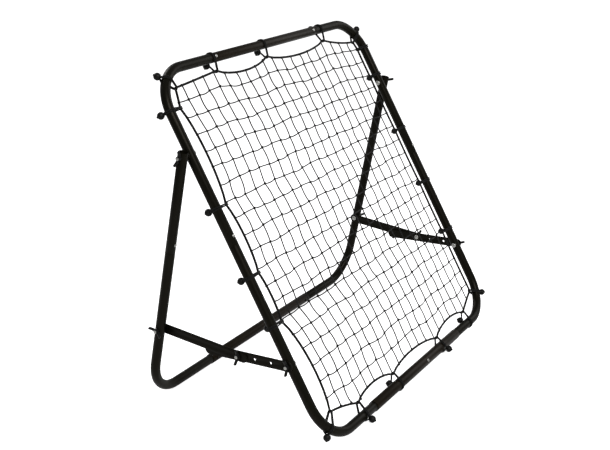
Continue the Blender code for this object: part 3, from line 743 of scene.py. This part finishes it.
def bungeeBall():
    startPiece()
    bpy.ops.mesh.primitive_uv_sphere_add(segments=bungee["ballSides"], ring_count=bungee["ballRings"],
                                         radius=bungee["ball"])
    ball = bpy.context.object
    selectFaces(ball, lambda face: face.center.z > bungee["ball"] * bungee["nubFrom"])
    bpy.ops.object.mode_set(mode="EDIT")
    bpy.ops.mesh.extrude_region_move(TRANSFORM_OT_translate={"value": (0, 0, bungee["nubLong"])})
    bpy.ops.transform.resize(value=bungee["nubShape"])
    bpy.ops.object.mode_set(mode="OBJECT")
    return ball


for oneTie in ties:
    name, point, _, out, radius, _, ballTurn = oneTie
    cords = cordPiece("cords", [bungeeRoute(oneTie, 1), bungeeRoute(oneTie, -1)], bungee["cord"], True)
    cords.data.materials.clear()
    cords.data.materials.append(elastic)
    ball = bungeeBall()
    ball.data.materials.append(nutBlack)
    way = out * cos(radians(ballTurn)) + behind * sin(radians(ballTurn))
    faceAlong(ball, point + way * (radius + bungee["ball"] + bungee["ballGap"]), way)
    piece = settle(joinPieces([cords, ball]), None, bungee["smooth"])
    stands(piece, "bungee_" + name, "frame")
print("rope and bungees made")


# net

net = {
    "rows": 19, "columns": 19, "low": 0.0915, "pitchUp": 0.0446, "left": -0.408, "pitchX": 0.04535,
    "strand": 0.0017, "steps": 4, "bow": 0.0016, "lift": 0.0016, "hang": 0.0012, "mesh": 0.045,
    "crowd": 0.006, "wander": 0.0018, "wanderX": 0.7, "smooth": 60,
    "side": 0.449, "follow": 0.8,  # the rope's usual place at the sides, and how far the mesh follows it
    "topRope": 0.928, "topFrom": 0.945, "topFade": 0.11,
    "lowRope": 0.046, "lowFrom": 0.035, "lowFade": 0.09,
    "knot": 0.0037, "knotSides": 6, "knotRings": 5,
    "knotVary": 0.15, "knotFlat": 0.9, "knotTilt": 0.5, "knotTwist": 0.6}
wave = {  # rates that keep strands and knots from looking alike
    "xRow": 1.7, "xColumn": 2.9, "upRow": 2.3, "upColumn": 1.3, "upStart": 0.6,
    "rowSeed": 7, "columnSeed": 11, "columnStart": 5,
    "bowSeed": 1.3, "bowStep": 2.1, "liftSeed": 0.9, "liftStep": 1.7,
    "wide": 1.9, "tall": 2.7, "tallStart": 1, "tilt": 1.1, "twist": 0.7}
ropeFlat = [((spot - onFrame(0, 0)).dot(across), (spot - onFrame(0, 0)).dot(upFrame)) for spot in route]


def ropeEnds(axis, value):
    found = []
    for k, end in enumerate(ropeFlat):
        start = ropeFlat[k - 1]
        first, second = start[axis] - value, end[axis] - value
        if first * second < 0:
            t = first / (first - second)
            found.append(start[1 - axis] + (end[1 - axis] - start[1 - axis]) * t)
    return min(found), max(found)


def knotSpot(row, column):
    x = net["left"] + net["pitchX"] * column
    t = row / (net["rows"] - 1)
    up = net["low"] + net["pitchUp"] * row + net["crowd"] * 4 * t * (1 - t)  # rows crowd towards the top
    x += net["wander"] * sin(wave["xRow"] * row + wave["xColumn"] * column) * net["wanderX"]
    up += net["wander"] * sin(wave["upRow"] * row + wave["upColumn"] * column + wave["upStart"])
    left, right = ropeEnds(1, up)  # near the rope the mesh follows its scallops
    side = net["side"]
    x += (left + side) * (side - x) / (2 * side) + (right - side) * (side + x) / (2 * side)
    low, top = ropeEnds(0, x)
    topPull = (top - net["topRope"]) * net["follow"] * exp(-(net["topFrom"] - up) / net["topFade"])
    lowPull = (low - net["lowRope"]) * net["follow"] * exp(-(up - net["lowFrom"]) / net["lowFade"])
    up += topPull + lowPull
    return x, up


def netLine(row=None, column=None):
    if column is None:
        flat = [knotSpot(row, c) for c in range(net["columns"])]
        low, top = ropeEnds(1, (flat[0][1] + flat[-1][1]) / 2)
        flat = [(low, flat[0][1])] + flat + [(top, flat[-1][1])]
        seed = row * wave["rowSeed"]
    else:
        flat = [knotSpot(r, column) for r in range(net["rows"])]
        low, top = ropeEnds(0, (flat[0][0] + flat[-1][0]) / 2)
        flat = [(flat[0][0], low)] + flat + [(flat[-1][0], top)]
        seed = column * wave["columnSeed"] + wave["columnStart"]
    spots = []
    mesh = net["mesh"]
    for k in range(len(flat) - 1):
        (x0, s0), (x1, s1) = flat[k], flat[k + 1]
        bow = net["bow"] * sin(seed * wave["bowSeed"] + k * wave["bowStep"])
        lift = net["lift"] * sin(seed * wave["liftSeed"] + k * wave["liftStep"])
        for step in range(net["steps"]):
            t = step / net["steps"]
            arch = 4 * t * (1 - t)
            x = x0 + (x1 - x0) * t - (s1 - s0) / mesh * bow * arch
            up = s0 + (s1 - s0) * t + (x1 - x0) / mesh * bow * arch - net["hang"] * arch
            spots.append(onFrame(x, up, lift * arch))
    spots.append(onFrame(*flat[-1]))
    return spots


lines = [netLine(row=r) for r in range(net["rows"])] + [netLine(column=c) for c in range(net["columns"])]
strands = cordPiece("strands", lines, net["strand"], False, rounding=1)
strands.data.materials.clear()
strands.data.materials.append(twine)

startPiece()
bpy.ops.mesh.primitive_uv_sphere_add(segments=net["knotSides"], ring_count=net["knotRings"],
                                     radius=net["knot"])
knot = bpy.context.object
knotSpots = [onFrame(*knotSpot(r, c)) for r in range(net["rows"]) for c in range(net["columns"])]
knotSpots += [line[0] for line in lines] + [line[-1] for line in lines]
knots = []
for k, spot in enumerate(knotSpots):
    copy = knot.copy()
    copy.data = knot.data.copy()
    copy.location = spot
    copy.scale = (1.0 + net["knotVary"] * sin(k * wave["wide"]), net["knotFlat"],
                  1.0 + net["knotVary"] * sin(k * wave["tall"] + wave["tallStart"]))
    copy.rotation_euler = (lean, net["knotTilt"] * sin(k * wave["tilt"]),
                           net["knotTwist"] * sin(k * wave["twist"]))
    bpy.context.scene.collection.objects.link(copy)
    copy.data.materials.append(knotShadedTwine)
    knots.append(copy)
bpy.data.objects.remove(knot, do_unlink=True)
stands(settle(joinPieces([strands] + knots), None, net["smooth"]), "net", "frame")
print("net made")


# floor, light and camera

studio = {
    "floor": 60.0, "floorLow": -0.0005, "floorGlow": 0.8, "worldLight": 0.32, "worldSeen": 1.0,
    "aim": (0, 0, 0.4),
    "lamps": {"key": ((-1.6, -2.2, 3.0), 1.8, 110.0), "fill": ((2.6, -1.2, 1.8), 2.0, 20.0),
              "rim": ((0.4, 2.6, 2.6), 1.6, 40.0)}}  # place, size and power

startPiece()
bpy.ops.mesh.primitive_plane_add(size=studio["floor"], location=(0, 0, studio["floorLow"]))
floor = bpy.context.object
floor.name = "floor"
finish, tree, shader = newFinish("paleFloor", rough=0.9, spec=0.1)
speck = addNoise(tree, scale=3.0)
shade = addRamp(tree, speck.outputs["Fac"], [(0.3, (0.9,) * 3), (0.7, (0.93,) * 3)])
tree.links.new(shade.outputs["Color"], shader.inputs["Base Color"])
rays = tree.nodes.new("ShaderNodeLightPath")
shader.inputs["Emission Color"].default_value = (1, 1, 1, 1)
glow = tree.nodes.new("ShaderNodeMath")
glow.operation = "MULTIPLY"
glow.inputs[1].default_value = studio["floorGlow"]
tree.links.new(rays.outputs["Is Camera Ray"], glow.inputs[0])
tree.links.new(glow.outputs["Value"], shader.inputs["Emission Strength"])
floor.data.materials.append(finish)

world = bpy.data.worlds.new("studioWhite")
bpy.context.scene.world = world
world.use_nodes = True
tree = world.node_tree
back = tree.nodes["Background"]
back.inputs["Color"].default_value = (1, 1, 1, 1)
rays = tree.nodes.new("ShaderNodeLightPath")
seen = tree.nodes.new("ShaderNodeMath")
seen.operation = "MAXIMUM"
tree.links.new(rays.outputs["Is Camera Ray"], seen.inputs[0])
tree.links.new(rays.outputs["Is Transmission Ray"], seen.inputs[1])
level = tree.nodes.new("ShaderNodeMapRange")
level.inputs["To Min"].default_value = studio["worldLight"]
level.inputs["To Max"].default_value = studio["worldSeen"]
tree.links.new(seen.outputs["Value"], level.inputs["Value"])
tree.links.new(level.outputs["Result"], back.inputs["Strength"])

for name, (place, size, power) in studio["lamps"].items():
    startPiece()
    aim = (Vector(studio["aim"]) - Vector(place)).to_track_quat("-Z", "Y").to_euler()
    bpy.ops.object.light_add(type="AREA", location=place, rotation=aim)
    lamp = bpy.context.object
    lamp.name = name + "Lamp"
    lamp.data.size = size
    lamp.data.energy = power

view = {"place": (-2.51362554, -1.36266458, 1.39667975), "lens": 65.1379, "sensor": 36,
        "right": (0.51224316, -0.85865025, 0.01807445), "up": (0.27861799, 0.1860479, 0.94220921)}
startPiece()
bpy.ops.object.camera_add()
camera = bpy.context.object
right, upright = Vector(view["right"]), Vector(view["up"])
turned = Matrix((right, upright, right.cross(upright))).transposed().to_4x4()
camera.matrix_world = Matrix.Translation(view["place"]) @ turned
camera.data.lens = view["lens"]
camera.data.sensor_width = view["sensor"]
bpy.context.scene.camera = camera
bpy.context.scene.view_settings.view_transform = "Standard"
